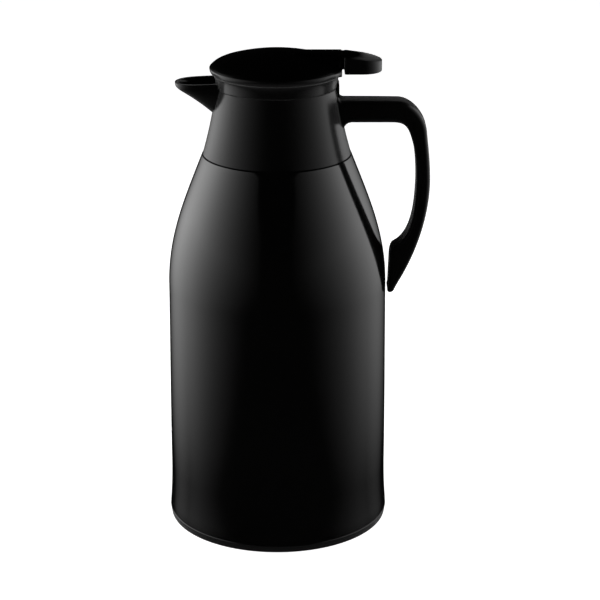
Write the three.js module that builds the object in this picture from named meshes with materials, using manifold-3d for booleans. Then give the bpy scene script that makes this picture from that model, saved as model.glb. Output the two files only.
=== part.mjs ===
// Vacuum pouring jug: a glass-lined flask in a plastic shell, with a neck collar that carries the
// spout and the handle, and a lift-out stopper lid whose thumb lever opens a spring-closed valve.
// Millimetres, +Z up. The origin is the centre of the underside, the spout points to -X and the
// handle to +X.
import * as THREE from 'three';
import { mergeVertices } from 'three/addons/utils/BufferGeometryUtils.js';
import Module from 'manifold-3d';

const wasm = await Module();
wasm.setup();

// ---------------------------------------------------------------- driving dimensions

const GAP = 0.3;                 // clearance between pieces that touch on the real jug
const FINE = 40;                 // sides of the large round pieces
const MEDIUM = 28;               // sides of the middle-sized round pieces
const COARSE = 16;               // sides of the small round pieces

const SHELL = {
  wall: 2.0, bottomZ: 5.2, flareR: 69.2, footR: 68.0, footZ: 22, bodyR: 67.5,
  shoulderZ: 152, topZ: 236.4, topR: 46.4, neckR: 39.8, neckWall: 1.8, neckTopZ: 246,
};
const FLASK = {
  glass: 1.6, vacuum: 3.0, clear: 2.6, bottomZ: 13.9, shoulderZ: 150, neckR: 31.5, neckTopZ: 244.5,
};
const BASE = { lowZ: 0.3, padThickness: 2.4, padR: 54, floorZ: 2.7, floorTopZ: 5.2, wall: 2.4, upstandZ: 21 };
const COLLAR = {
  bottomZ: 237.2, bottomR: 45.7, waistZ: 256.5, waistR: 40.4, topZ: 278.3, topR: 36.4, wall: 2.4,
  ledgeZ: 249.5, ledgeTopZ: 252, mouthR: 28.2, socketR: 40.15, socketTopZ: 246.5,
};
const SPOUT = { rimZ: 281.3, rimRise: 2.4, lowZ: 260.8, halfWidth: 12.5, wall: 2.2, backR: 28, bluntness: 6 };
const HANDLE = { width: 17.5, armTopZ: 271, armLowZ: 257.4, backX: 93.7, innerX: 85.1 };
const LUG = { halfWidth: 6, innerX: 36.4, outerX: 38.3, shoulderZ: 280, topZ: 281.9, topX: 37.1 };
const LID = {
  lowR: 36.6, lowZ: 278.65, lipR: 40.85, lipZ: 289.6, domeZ: 300.3, wall: 2, rimInnerR: 35.2, flatX: 38.8,
  skirtR: 32.4, skirtWall: 1.6, skirtLowZ: 271.5, flangeR: 34.8, flangeZ: 281.8,
};
const BLOCK = {
  startX: 15, halfWidth: 10, topZ: 296.3, slotHalf: 6.3, slotStartX: 9.6, slotFloorX: 29, slotFloorZ: 288.8,
};
const STOPPER = {
  r: 23.5, wall: 2.0, lowZ: 243, seatR: 12, floor: 2.4, flangeZ: 270.5, flangeTopZ: 273, flangeR: 30.4,
};
const VALVE = { stemR: 2.1, shoulderZ: 256.5, shoulderR: 6.5, plugR: 16, nutR: 5, topZ: 290.7 };
const LEVER = {
  pivotX: 33.7, pivotZ: 293.5, pinR: 1.5, arm: 12, topZ: 299.8, startX: 10, neckX: 38.5,
  neckLowZ: 290, padStartX: 40.6, padEndX: 63.6, padHalf: 12, padLowZ: 288.1, padTopZ: 299.2,
  padTipZ: 294.8, noseZ: 287.5, noseX: -5, ridgeX: 2, forkEndX: 4.4,
};
const SPRING = { coilR: 4.6, wireR: 0.6, turns: 5, sides: 6, stepsPerTurn: 12 };

// ---------------------------------------------------------------- materials

function plastic(color, roughness) {
  return new THREE.MeshStandardMaterial({ color, roughness, metalness: 0 });
}

const GLOSS_BLACK = plastic(0x0a0a0b, 0.12);
const SATIN_BLACK = plastic(0x101011, 0.45);
const INNER_BLACK = plastic(0x161617, 0.5);
const SOFT_RUBBER = plastic(0x1a1a1a, 0.85);
const SILICONE = plastic(0xd9d6cf, 0.6);
const SILVERED_GLASS = new THREE.MeshStandardMaterial({ color: 0xc9cdd2, roughness: 0.06, metalness: 0.9 });
const STEEL = new THREE.MeshStandardMaterial({ color: 0xb9bbbf, roughness: 0.25, metalness: 1 });
const FELT = plastic(0x8f8a80, 0.95);

// ---------------------------------------------------------------- solids and booleans

// Keeps positions only, shares equal corners, drops empty triangles and turns the faces outwards.
function weld(geometry) {
  const bare = geometry.clone();
  bare.deleteAttribute('normal');
  bare.deleteAttribute('uv');
  const merged = mergeVertices(bare, 1e-4);
  const triangles = [];
  for (let i = 0; i < merged.index.count; i += 3) {
    const [a, b, c] = [merged.index.getX(i), merged.index.getX(i + 1), merged.index.getX(i + 2)];
    if (a !== b && b !== c && a !== c) triangles.push(a, b, c);
  }
  merged.setIndex(triangles);
  if (signedVolume(merged) < 0) {
    merged.setIndex(triangles.reverse());
  }
  return merged;
}

function signedVolume(geometry) {
  const corner = [new THREE.Vector3(), new THREE.Vector3(), new THREE.Vector3()];
  let volume = 0;
  for (let i = 0; i < geometry.index.count; i += 3) {
    corner.forEach((point, k) => {
      point.fromBufferAttribute(geometry.attributes.position, geometry.index.getX(i + k));
    });
    volume += corner[0].dot(corner[1].clone().cross(corner[2])) / 6;
  }
  return volume;
}

function toManifold(geometry) {
  const closed = weld(geometry);
  return new wasm.Manifold(new wasm.Mesh({
    numProp: 3,
    vertProperties: new Float32Array(closed.attributes.position.array),
    triVerts: new Uint32Array(closed.index.array),
  }));
}

function fromManifold(manifold) {
  const mesh = manifold.getMesh();
  const geometry = new THREE.BufferGeometry();
  geometry.setAttribute('position', new THREE.BufferAttribute(new Float32Array(mesh.vertProperties), 3));
  geometry.setIndex(new THREE.BufferAttribute(new Uint32Array(mesh.triVerts), 1));
  return geometry;
}

function union(first, ...others) {
  return others.reduce((sum, geometry) => sum.add(toManifold(geometry)), toManifold(first));
}

function subtract(manifold, ...cutters) {
  return cutters.reduce((rest, geometry) => rest.subtract(toManifold(geometry)), manifold);
}

// ---------------------------------------------------------------- basic shapes

// Turns a closed [radius, height] profile about Z.
function turned(profile, sides) {
  const points = profile.map(([radius, height]) => new THREE.Vector2(radius, height));
  const first = points[0];
  const last = points[points.length - 1];
  const onAxis = first.x === 0 && last.x === 0;
  if (!onAxis) points.push(first.clone());
  return weld(new THREE.LatheGeometry(points, sides).rotateX(Math.PI / 2));
}

function ring(innerR, outerR, lowZ, highZ, sides = MEDIUM) {
  return turned([[innerR, lowZ], [outerR, lowZ], [outerR, highZ], [innerR, highZ]], sides);
}

function disc(radius, lowZ, highZ, sides = MEDIUM) {
  return turned([[0, lowZ], [radius, lowZ], [radius, highZ], [0, highZ]], sides);
}

function box(x0, x1, y0, y1, z0, z1) {
  const geometry = new THREE.BoxGeometry(x1 - x0, y1 - y0, z1 - z0);
  return geometry.translate((x0 + x1) / 2, (y0 + y1) / 2, (z0 + z1) / 2);
}

// A side view in X and Z, given a thickness along Y about the middle plane.
function sideExtrusion(shape, thickness, curveSegments = 4) {
  const geometry = new THREE.ExtrudeGeometry(shape, { depth: thickness, bevelEnabled: false, curveSegments });
  return geometry.rotateX(Math.PI / 2).translate(0, thickness / 2, 0);
}

function crossBar(radius, x, z, halfLength, sides = COARSE) {
  return new THREE.CylinderGeometry(radius, radius, 2 * halfLength, sides).translate(x, 0, z);
}

function bezierPoints(start, controlA, controlB, end, count) {
  const curve = new THREE.CubicBezierCurve(
    new THREE.Vector2(...start), new THREE.Vector2(...controlA),
    new THREE.Vector2(...controlB), new THREE.Vector2(...end));
  return curve.getPoints(count).map((point) => [point.x, point.y]);
}

function arcPoints(centre, radius, fromDegrees, toDegrees, count) {
  const points = [];
  for (let i = 0; i <= count; i += 1) {
    const angle = THREE.MathUtils.degToRad(fromDegrees + (toDegrees - fromDegrees) * i / count);
    points.push([centre[0] + radius * Math.cos(angle), centre[1] + radius * Math.sin(angle)]);
  }
  return points;
}

// ---------------------------------------------------------------- body shell and base

// The outside of the shell from its flared foot to the seam under the collar.
function shellOutside(offset) {
  const shoulder = bezierPoints([SHELL.bodyR, SHELL.shoulderZ], [SHELL.bodyR + 0.7, 184],
    [58, 206.5], [SHELL.topR, SHELL.topZ], 9);
  const outline = [
    [SHELL.flareR, SHELL.bottomZ],
    [SHELL.flareR - 0.5, 11],
    [SHELL.footR, SHELL.footZ],
    [SHELL.footR - 0.2, 80],
    [SHELL.footR - 0.4, 115],
    ...shoulder,
  ];
  return outline.map(([radius, z]) => [radius - offset, z]);
}

function outerShell() {
  const inside = shellOutside(SHELL.wall).reverse();
  inside[0] = [SHELL.neckR - SHELL.neckWall, SHELL.topZ - SHELL.wall];
  return turned([
    ...shellOutside(0),
    [SHELL.topR - 1.1, SHELL.topZ + 0.2],
    [SHELL.neckR, SHELL.topZ + 0.2],
    [SHELL.neckR, SHELL.neckTopZ],
    [SHELL.neckR - SHELL.neckWall, SHELL.neckTopZ],
    ...inside,
  ], FINE);
}

function baseCup() {
  const upstandR = SHELL.footR - SHELL.wall - GAP;
  return turned([
    [0, BASE.floorZ],
    [BASE.padR + 0.6, BASE.floorZ],
    [BASE.padR + 1.4, BASE.lowZ],
    [SHELL.flareR - 1.6, BASE.lowZ],
    [SHELL.flareR - 0.4, BASE.lowZ + 0.5],
    [SHELL.flareR, BASE.lowZ + 1.8],
    [SHELL.flareR, SHELL.bottomZ - GAP],
    [upstandR, SHELL.bottomZ - GAP],
    [upstandR, BASE.upstandZ],
    [upstandR - BASE.wall, BASE.upstandZ],
    [upstandR - BASE.wall, BASE.floorTopZ],
    [0, BASE.floorTopZ],
  ], FINE);
}

function antiSlipPad() {
  return disc(BASE.padR, 0, BASE.padThickness, MEDIUM);
}

function baseCushion() {
  return ring(14, 48, BASE.floorTopZ + GAP, FLASK.bottomZ - GAP, 32);
}

// ---------------------------------------------------------------- glass flask

const FLASK_BODY_R = SHELL.bodyR - SHELL.wall - FLASK.clear;
const INNER_STEP = FLASK.glass + FLASK.vacuum;
const INNER_NECK_R = FLASK.neckR - FLASK.glass - 1.5;

// One side of a bottle wall, from the rim of its flat bottom to the foot of its neck.
function bottleSide(bodyR, neckR, bottomZ, shift) {
  const heel = arcPoints([bodyR - 18, bottomZ + 18], 18, -90, 0, 3);
  const shoulder = bezierPoints([bodyR, FLASK.shoulderZ], [bodyR, 184 - shift],
    [neckR + 2, 212 - shift], [neckR, 236 - shift], 6);
  return [...heel, ...shoulder];
}

function flaskOuterGlass() {
  const tip = [[0, 7.5], [2, 8.4], [3.2, 11], [5, FLASK.bottomZ]];
  const inside = bottleSide(FLASK_BODY_R - FLASK.glass, FLASK.neckR - FLASK.glass,
    FLASK.bottomZ + FLASK.glass, 1).reverse();
  return turned([
    ...tip,
    ...bottleSide(FLASK_BODY_R, FLASK.neckR, FLASK.bottomZ, 0),
    [FLASK.neckR, FLASK.neckTopZ],
    [FLASK.neckR - FLASK.glass, FLASK.neckTopZ],
    ...inside,
    [0, FLASK.bottomZ + FLASK.glass],
  ], MEDIUM);
}

function flaskInnerGlass() {
  const bodyR = FLASK_BODY_R - INNER_STEP;
  const bottomZ = FLASK.bottomZ + INNER_STEP;
  const inside = bottleSide(bodyR - FLASK.glass, INNER_NECK_R - FLASK.glass, bottomZ + FLASK.glass, 5);
  return turned([
    [0, bottomZ],
    ...bottleSide(bodyR, INNER_NECK_R, bottomZ, 4),
    [INNER_NECK_R, FLASK.neckTopZ + GAP],
    [FLASK.neckR - 0.4, FLASK.neckTopZ + GAP],
    [FLASK.neckR, FLASK.neckTopZ + 1.6],
    [FLASK.neckR - 0.8, FLASK.neckTopZ + 2.7],
    [INNER_NECK_R - FLASK.glass + 0.6, FLASK.neckTopZ + 2.7],
    [INNER_NECK_R - FLASK.glass, FLASK.neckTopZ + 2.1],
    ...inside.reverse(),
    [0, bottomZ + FLASK.glass],
  ], MEDIUM);
}

function flaskSpacer(angle) {
  const pad = disc(6, FLASK.bottomZ + FLASK.glass + GAP, FLASK.bottomZ + INNER_STEP - GAP, COARSE);
  return pad.translate(30 * Math.cos(angle), 30 * Math.sin(angle), 0);
}

function neckGasket() {
  return ring(27.4, 31.2, FLASK.neckTopZ + 3.0, COLLAR.ledgeZ - GAP, 32);
}

// ---------------------------------------------------------------- collar, spout and handle

// Half-width of the spout at a share of its height, 0 at the keel and 1 at the rim.
function spoutFullness(share) {
  return Math.sqrt(1 - (1 - Math.min(1, Math.max(0.02, share))) ** 2.1);
}

// Reach of the keel from the axis at each height: out of the collar, then round a blunt nose.
const KEEL = new THREE.CatmullRomCurve3([
  [37.6, 260.8], [41.8, 265], [51.5, 272.6], [58.1, 276.3], [61.2, 279.1], [61.5, 281.3],
].map(([reach, z]) => new THREE.Vector3(reach, 0, z)));

function keelReach(z) {
  let low = 0;
  let high = 1;
  for (let i = 0; i < 24; i += 1) {
    const middle = (low + high) / 2;
    if (KEEL.getPoint(middle).z < z) low = middle;
    else high = middle;
  }
  return KEEL.getPoint(low).x;
}

// A beak made of level slices. Shrinking it by the wall and lifting it gives its channel.
function beak(wall, lift, topZ) {
  const half = 8;
  const outline = new THREE.Shape();
  outline.moveTo(0, -1);
  for (let i = 1; i < 2 * half; i += 1) {
    const side = -Math.cos(Math.PI * i / (2 * half));
    outline.lineTo((1 - side * side) ** (1 / SPOUT.bluntness), side);
  }
  outline.lineTo(0, 1);
  outline.closePath();
  const geometry = new THREE.ExtrudeGeometry(outline, { depth: 1, steps: 10, bevelEnabled: false });
  const position = geometry.attributes.position;
  for (let i = 0; i < position.count; i += 1) {
    const level = SPOUT.lowZ + position.getZ(i) * (topZ - SPOUT.lowZ - lift);
    const share = (level - SPOUT.lowZ) / (SPOUT.rimZ - SPOUT.lowZ);
    const reach = keelReach(Math.min(level, SPOUT.rimZ)) - SPOUT.backR - wall;
    const halfWidth = Math.max(0.4, SPOUT.halfWidth * spoutFullness(share) - wall);
    const x = -SPOUT.backR - position.getX(i) * reach;
    const rise = SPOUT.rimRise * share ** 4 * (1 + x / keelReach(SPOUT.rimZ));
    position.setXYZ(i, x, position.getY(i) * halfWidth, level + lift + rise);
  }
  return geometry;
}

// The collar's outside from its foot to its rim, moved inwards by an offset.
function collarCurve(offset) {
  const curve = new THREE.QuadraticBezierCurve(
    new THREE.Vector2(COLLAR.bottomR, COLLAR.bottomZ),
    new THREE.Vector2(COLLAR.waistR, COLLAR.waistZ),
    new THREE.Vector2(COLLAR.topR, COLLAR.topZ));
  return curve.getPoints(5).map((point) => [point.x - offset, point.y]);
}

function collarWall() {
  return turned([
    ...collarCurve(0),
    [COLLAR.mouthR - 1, COLLAR.topZ],
    [COLLAR.mouthR - 1, COLLAR.bottomZ],
  ], FINE);
}

// The socket for the shell's neck, the mouth over the flask and the pouring chamber above it.
function collarHollow() {
  const chamber = collarCurve(COLLAR.wall).filter(([, z]) => z > COLLAR.ledgeTopZ);
  return turned([
    [0, COLLAR.bottomZ - 2],
    [COLLAR.socketR, COLLAR.bottomZ - 2],
    [COLLAR.socketR, COLLAR.socketTopZ],
    [COLLAR.socketR - 2, COLLAR.ledgeZ],
    [COLLAR.mouthR, COLLAR.ledgeZ],
    [COLLAR.mouthR, COLLAR.ledgeTopZ],
    [chamber[0][0] + 0.4, COLLAR.ledgeTopZ],
    ...chamber,
    [COLLAR.topR - COLLAR.wall, COLLAR.topZ + 8],
    [0, COLLAR.topZ + 8],
  ], FINE);
}

// The room that the lid needs above the collar's rim.
function lidRoom() {
  return turned([
    [0, COLLAR.topZ],
    [COLLAR.topR, COLLAR.topZ],
    [LID.lowR + 0.4, LID.lowZ],
    [LID.lowR + 1, LID.lowZ + 4],
    [LID.lipR, LID.lowZ + 8],
    [0, LID.lowZ + 8],
  ], FINE);
}

// Side view of the handle: an arm off the collar, a round bend and a tail that ends by the shell.
function handleShape() {
  const shape = new THREE.Shape();
  shape.moveTo(34.8, 276);
  shape.lineTo(36.8, 275.6);
  shape.quadraticCurveTo(37.4, HANDLE.armTopZ, 41.5, HANDLE.armTopZ);
  shape.lineTo(70, HANDLE.armTopZ);
  shape.bezierCurveTo(82, HANDLE.armTopZ - 0.5, 90, 261, 91.2, 252);
  shape.bezierCurveTo(92, 246, HANDLE.backX, 236, HANDLE.backX, 220);
  shape.bezierCurveTo(HANDLE.backX, 200, 87, 176.5, 72, 148);
  shape.quadraticCurveTo(68.6, 144, 68.4, 150);
  shape.lineTo(69.4, 170);
  shape.quadraticCurveTo(69.9, 177, 73, 179.3);
  shape.bezierCurveTo(81, 185, 84.4, 204, HANDLE.innerX, 220);
  shape.bezierCurveTo(HANDLE.innerX, 240, 83, HANDLE.armLowZ, 70, HANDLE.armLowZ);
  shape.lineTo(44.5, HANDLE.armLowZ);
  shape.quadraticCurveTo(41.6, HANDLE.armLowZ, 41.3, 253.2);
  shape.lineTo(38.9, 252.6);
  shape.closePath();
  return shape;
}

// The lug behind the lid's band, above the handle.
function lugShape() {
  const shape = new THREE.Shape();
  shape.moveTo(35, 272);
  shape.lineTo(LUG.outerX, 272);
  shape.lineTo(LUG.outerX, LUG.shoulderZ);
  shape.lineTo(LUG.topX, LUG.topZ);
  shape.lineTo(LUG.innerX, LUG.topZ);
  shape.lineTo(LUG.innerX, COLLAR.topZ);
  shape.lineTo(35, COLLAR.topZ);
  shape.closePath();
  return shape;
}

function neckCollar() {
  const handle = sideExtrusion(handleShape(), HANDLE.width, 6);
  const outside = union(collarWall(), beak(0, 0, SPOUT.rimZ), handle);
  const channel = beak(SPOUT.wall, SPOUT.wall, SPOUT.rimZ + 4);
  const hollowed = subtract(outside, collarHollow(), channel, lidRoom());
  return fromManifold(hollowed.add(toManifold(sideExtrusion(lugShape(), 2 * LUG.halfWidth))));
}

// ---------------------------------------------------------------- lid

// The skirt that plugs the collar, with a flange that sits inside the cap.
function lidSkirt() {
  const inner = LID.skirtR - LID.skirtWall;
  return turned([
    [inner, LID.skirtLowZ],
    [LID.skirtR, LID.skirtLowZ],
    [LID.skirtR, LID.lowZ],
    [LID.flangeR, LID.lowZ],
    [LID.flangeR, LID.flangeZ],
    [inner, LID.flangeZ],
  ], MEDIUM);
}

function lidSeal() {
  return ring(LID.skirtR + GAP, 33.4, 272.2, 275, MEDIUM);
}

// Side view of the cap's outside: a waist that flares into a rounded lip, then a shallow dome.
function capOutside() {
  const { lowR, lowZ, lipR, lipZ, domeZ } = LID;
  const waist = bezierPoints([lowR, lowZ], [lowR + 0.5, lowZ + 4.3], [lowR + 0.9, lowZ + 6.5],
    [lowR + 2.4, lowZ + 8], 4);
  const lip = bezierPoints([lipR - 0.7, lipZ - 2.2], [lipR - 0.2, lipZ - 1.6], [lipR, lipZ - 0.8],
    [lipR, lipZ], 3);
  const shoulder = bezierPoints([lipR, lipZ], [lipR, lipZ + 2.6], [37.4, 294], [34, 295], 4);
  const dome = bezierPoints([34, 295], [24, 298], [10, domeZ], [0, domeZ], 5);
  return [...waist, ...lip, ...shoulder.slice(1), ...dome.slice(1)];
}

function capProfile() {
  const { wall, domeZ, lowZ, rimInnerR } = LID;
  const ceiling = bezierPoints([0, domeZ - wall], [10, domeZ - wall], [23, 295.8], [33, 292.9], 5);
  return [...capOutside(), ...ceiling, [37.4, 290.4], [37.2, 288], [rimInnerR, 286], [rimInnerR, lowZ]];
}

// The saddle block seen from above, with its outer corners rounded.
function blockShape() {
  const shape = new THREE.Shape();
  const half = BLOCK.halfWidth;
  const corner = 2;
  shape.moveTo(BLOCK.startX, -half);
  shape.lineTo(LID.flatX - corner, -half);
  shape.quadraticCurveTo(LID.flatX, -half, LID.flatX, -half + corner);
  shape.lineTo(LID.flatX, half - corner);
  shape.quadraticCurveTo(LID.flatX, half, LID.flatX - corner, half);
  shape.lineTo(BLOCK.startX, half);
  shape.closePath();
  return shape;
}

// The domed cap with the saddle block, the lever's channel, the bore of its pin and the lug's notch.
function lidCover() {
  const { flatX, lowZ, domeZ } = LID;
  const { halfWidth, slotHalf, slotStartX, slotFloorX, slotFloorZ, topZ } = BLOCK;
  const block = new THREE.ExtrudeGeometry(blockShape(), {
    depth: topZ - lowZ - 8, bevelEnabled: false, curveSegments: 3,
  }).translate(0, 0, lowZ + 8);
  const sheared = box(flatX, 50, -halfWidth, halfWidth, lowZ - 2, topZ + 6);
  const channel = box(slotFloorX, 50, -slotHalf, slotHalf, slotFloorZ, domeZ + 5);
  const forkRoom = box(slotStartX, slotFloorX, -slotHalf, slotHalf, lowZ + 1, domeZ + 5);
  const pinBore = crossBar(LEVER.pinR + GAP, LEVER.pivotX, LEVER.pivotZ, halfWidth - 0.8);
  const side = LUG.halfWidth + GAP;
  const lugNotch = box(LUG.innerX - GAP, 50, -side, side, lowZ - 2, LUG.topZ + GAP);
  const shell = union(turned(capProfile(), FINE), block);
  return fromManifold(subtract(shell, sheared, channel, forkRoom, pinBore, lugNotch));
}

function pivotPin() {
  return crossBar(LEVER.pinR, LEVER.pivotX, LEVER.pivotZ, BLOCK.halfWidth - 1.1);
}

// ---------------------------------------------------------------- stopper

function stopperBody() {
  const { r, wall, lowZ, seatR, floor, flangeZ, flangeTopZ, flangeR } = STOPPER;
  const body = turned([
    [seatR, lowZ],
    [r - 1, lowZ],
    [r, lowZ + 1],
    [r, 254.6],
    [r + 4, 254.6],
    [r + 4, 256],
    [r, 256],
    [r, flangeZ],
    [flangeR, flangeZ],
    [flangeR, flangeTopZ],
    [12, flangeTopZ],
    [12, flangeZ],
    [r - wall, flangeZ],
    [r - wall, lowZ + floor],
    [seatR, lowZ + floor],
  ], MEDIUM);
  const windows = [0, 1].map((turn) => box(-40, 40, -6, 6, 257.5, 267.5).rotateZ(turn * Math.PI / 2));
  return fromManifold(subtract(toManifold(body), ...windows));
}

function stopperGasket() {
  return ring(STOPPER.r + GAP, STOPPER.r + 6, COLLAR.ledgeTopZ + GAP, 254.3, 32);
}

function springBridge() {
  return ring(VALVE.stemR + 0.5, 20, STOPPER.flangeTopZ + GAP, STOPPER.flangeTopZ + 2.3, 32);
}

// ---------------------------------------------------------------- valve

const PLUG_LOW_Z = STOPPER.lowZ + STOPPER.floor + 2.1;

function valveStem() {
  const { stemR, shoulderZ, shoulderR, topZ } = VALVE;
  return turned([
    [0, PLUG_LOW_Z + 0.4],
    [stemR, PLUG_LOW_Z + 0.4],
    [stemR, shoulderZ],
    [shoulderR, shoulderZ],
    [shoulderR, shoulderZ + 1.5],
    [stemR, shoulderZ + 1.5],
    [stemR, topZ],
    [0, topZ],
  ], COARSE);
}

function stemNut() {
  return turned([
    [VALVE.stemR + GAP, LEVER.noseZ + GAP],
    [VALVE.nutR - 0.8, LEVER.noseZ + GAP],
    [VALVE.nutR, LEVER.noseZ + 1.1],
    [VALVE.nutR, LEVER.noseZ + 2.9],
    [VALVE.stemR + GAP, LEVER.noseZ + 2.9],
  ], COARSE);
}

function valvePlug() {
  const bore = VALVE.stemR + GAP;
  return turned([
    [bore, PLUG_LOW_Z],
    [VALVE.plugR, PLUG_LOW_Z],
    [VALVE.plugR, PLUG_LOW_Z + 1.8],
    [5.2, PLUG_LOW_Z + 4],
    [5.2, VALVE.shoulderZ - GAP],
    [bore, VALVE.shoulderZ - GAP],
  ], 32);
}

function valveSeal() {
  return disc(VALVE.plugR - 1, STOPPER.lowZ + STOPPER.floor + GAP, PLUG_LOW_Z - GAP, 32);
}

function valveSpring() {
  const lowZ = VALVE.shoulderZ + 1.5 + GAP + SPRING.wireR;
  const highZ = STOPPER.flangeTopZ - SPRING.wireR;
  class Helix extends THREE.Curve {
    getPoint(t, target = new THREE.Vector3()) {
      const angle = 2 * Math.PI * SPRING.turns * t;
      const height = lowZ + (highZ - lowZ) * t;
      return target.set(SPRING.coilR * Math.cos(angle), SPRING.coilR * Math.sin(angle), height);
    }
  }
  const wire = new THREE.Shape();
  for (let i = 0; i < SPRING.sides; i += 1) {
    const angle = 2 * Math.PI * i / SPRING.sides;
    const point = [SPRING.wireR * Math.cos(angle), SPRING.wireR * Math.sin(angle)];
    if (i === 0) wire.moveTo(...point);
    else wire.lineTo(...point);
  }
  wire.closePath();
  const steps = SPRING.turns * SPRING.stepsPerTurn;
  return new THREE.ExtrudeGeometry(wire, { steps, extrudePath: new Helix() });
}

// ---------------------------------------------------------------- lever

// Side view of the arm: the strip that shows in the channel, its web and the fork under the dome.
function leverArmShape() {
  const { startX, noseX, noseZ, ridgeX, neckX, neckLowZ, topZ } = LEVER;
  const shape = new THREE.Shape();
  shape.moveTo(noseX, noseZ - 3);
  shape.lineTo(startX + 4, noseZ - 3);
  shape.lineTo(27, neckLowZ - 0.4);
  shape.lineTo(neckX, neckLowZ);
  shape.lineTo(neckX, topZ);
  shape.lineTo(startX, topZ);
  shape.lineTo(startX, noseZ);
  shape.lineTo(ridgeX, noseZ);
  shape.lineTo(noseX, noseZ - 1.4);
  shape.closePath();
  return shape;
}

// The thumb pad seen from above: a square inner end and a round tip.
function padShape() {
  const shape = new THREE.Shape();
  const roundX = LEVER.padEndX - LEVER.padHalf;
  shape.moveTo(LEVER.padStartX, -LEVER.padHalf);
  shape.lineTo(roundX, -LEVER.padHalf);
  shape.absarc(roundX, 0, LEVER.padHalf, -Math.PI / 2, Math.PI / 2, false);
  shape.lineTo(LEVER.padStartX, LEVER.padHalf);
  shape.closePath();
  return shape;
}

// The thumb pad seen from the side: a flat underside and a top that falls away to the tip.
function padSideShape() {
  const { padStartX, padEndX, padLowZ, padTopZ, padTipZ } = LEVER;
  const shape = new THREE.Shape();
  shape.moveTo(padStartX - 1, padLowZ);
  shape.lineTo(padEndX + 1, padLowZ);
  shape.lineTo(padEndX + 1, padTipZ);
  shape.quadraticCurveTo(padEndX - 12, padTopZ, padStartX - 1, padTopZ);
  shape.closePath();
  return shape;
}

function thumbLever() {
  const plan = new THREE.ExtrudeGeometry(padShape(), { depth: 20, bevelEnabled: false, curveSegments: 8 })
    .translate(0, 0, LEVER.padLowZ - 5);
  const pad = toManifold(plan).intersect(toManifold(sideExtrusion(padSideShape(), 40, 4)));
  const half = LEVER.arm / 2;
  const neck = box(LEVER.neckX - 3, LEVER.padStartX + 3, -half, half, LEVER.neckLowZ, LEVER.padTopZ);
  const arm = sideExtrusion(leverArmShape(), LEVER.arm);
  const forkSlot = box(LEVER.noseX - 5, LEVER.forkEndX, -VALVE.stemR - 0.5, VALVE.stemR + 0.5, 275, 305);
  const pinBore = crossBar(LEVER.pinR + GAP, LEVER.pivotX, LEVER.pivotZ, LEVER.arm / 2 + 1);
  const solid = pad.add(toManifold(neck)).add(toManifold(arm));
  return fromManifold(subtract(solid, forkSlot, pinBore));
}

// ---------------------------------------------------------------- assembly

const jug = new THREE.Group();

function addPiece(parent, name, geometry, material) {
  const mesh = new THREE.Mesh(geometry, material);
  mesh.name = name;
  parent.add(mesh);
}

const body = new THREE.Group();
addPiece(body, 'outer_shell', outerShell(), GLOSS_BLACK);
addPiece(body, 'neck_collar', neckCollar(), SATIN_BLACK);
addPiece(body, 'base_cup', baseCup(), SATIN_BLACK);
addPiece(body, 'anti_slip_pad', antiSlipPad(), SOFT_RUBBER);
addPiece(body, 'base_cushion', baseCushion(), SOFT_RUBBER);
addPiece(body, 'flask_outer_glass', flaskOuterGlass(), SILVERED_GLASS);
addPiece(body, 'flask_inner_glass', flaskInnerGlass(), SILVERED_GLASS);
addPiece(body, 'neck_gasket', neckGasket(), SILICONE);
for (let i = 0; i < 3; i += 1) {
  addPiece(body, `flask_spacer_${i + 1}`, flaskSpacer(2 * Math.PI * i / 3), FELT);
}

const lid = new THREE.Group();
addPiece(lid, 'lid_cover', lidCover(), SATIN_BLACK);
addPiece(lid, 'lid_skirt', lidSkirt(), SATIN_BLACK);
addPiece(lid, 'lid_seal', lidSeal(), SILICONE);
addPiece(lid, 'stopper_body', stopperBody(), INNER_BLACK);
addPiece(lid, 'stopper_gasket', stopperGasket(), SILICONE);
addPiece(lid, 'spring_bridge', springBridge(), INNER_BLACK);
addPiece(lid, 'pivot_pin', pivotPin(), STEEL);
addPiece(lid, 'valve_spring', valveSpring(), STEEL);

const valve = new THREE.Group();
addPiece(valve, 'valve_stem', valveStem(), INNER_BLACK);
addPiece(valve, 'stem_nut', stemNut(), STEEL);
addPiece(valve, 'valve_plug', valvePlug(), INNER_BLACK);
addPiece(valve, 'valve_seal', valveSeal(), SILICONE);

const lever = new THREE.Group();
addPiece(lever, 'thumb_lever', thumbLever(), SATIN_BLACK);

lid.add(valve, lever);
jug.add(body, lid);

export default jug;
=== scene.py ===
"""Vacuum pouring jug: the visible pieces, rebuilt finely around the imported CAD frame.

Lengths are in metres and the frame is the CAD's: +Z up, spout towards -X, handle towards +X.
"""
import math

import bmesh
import bpy
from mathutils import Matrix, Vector


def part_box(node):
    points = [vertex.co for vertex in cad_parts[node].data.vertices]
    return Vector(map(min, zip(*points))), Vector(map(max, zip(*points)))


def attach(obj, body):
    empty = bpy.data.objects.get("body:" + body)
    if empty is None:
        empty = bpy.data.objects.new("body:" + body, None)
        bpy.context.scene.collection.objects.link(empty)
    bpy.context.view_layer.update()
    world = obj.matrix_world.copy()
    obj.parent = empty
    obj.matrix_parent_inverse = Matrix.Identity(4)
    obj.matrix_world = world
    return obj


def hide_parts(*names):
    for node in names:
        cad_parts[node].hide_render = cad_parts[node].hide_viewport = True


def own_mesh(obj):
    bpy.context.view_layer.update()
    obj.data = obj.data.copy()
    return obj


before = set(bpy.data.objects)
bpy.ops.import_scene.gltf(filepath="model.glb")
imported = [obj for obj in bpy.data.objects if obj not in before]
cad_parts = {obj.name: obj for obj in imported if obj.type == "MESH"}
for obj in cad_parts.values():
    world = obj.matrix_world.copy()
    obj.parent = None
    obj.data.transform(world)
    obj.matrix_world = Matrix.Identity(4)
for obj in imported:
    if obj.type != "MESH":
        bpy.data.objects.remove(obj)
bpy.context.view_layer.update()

MM = 0.001
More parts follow.
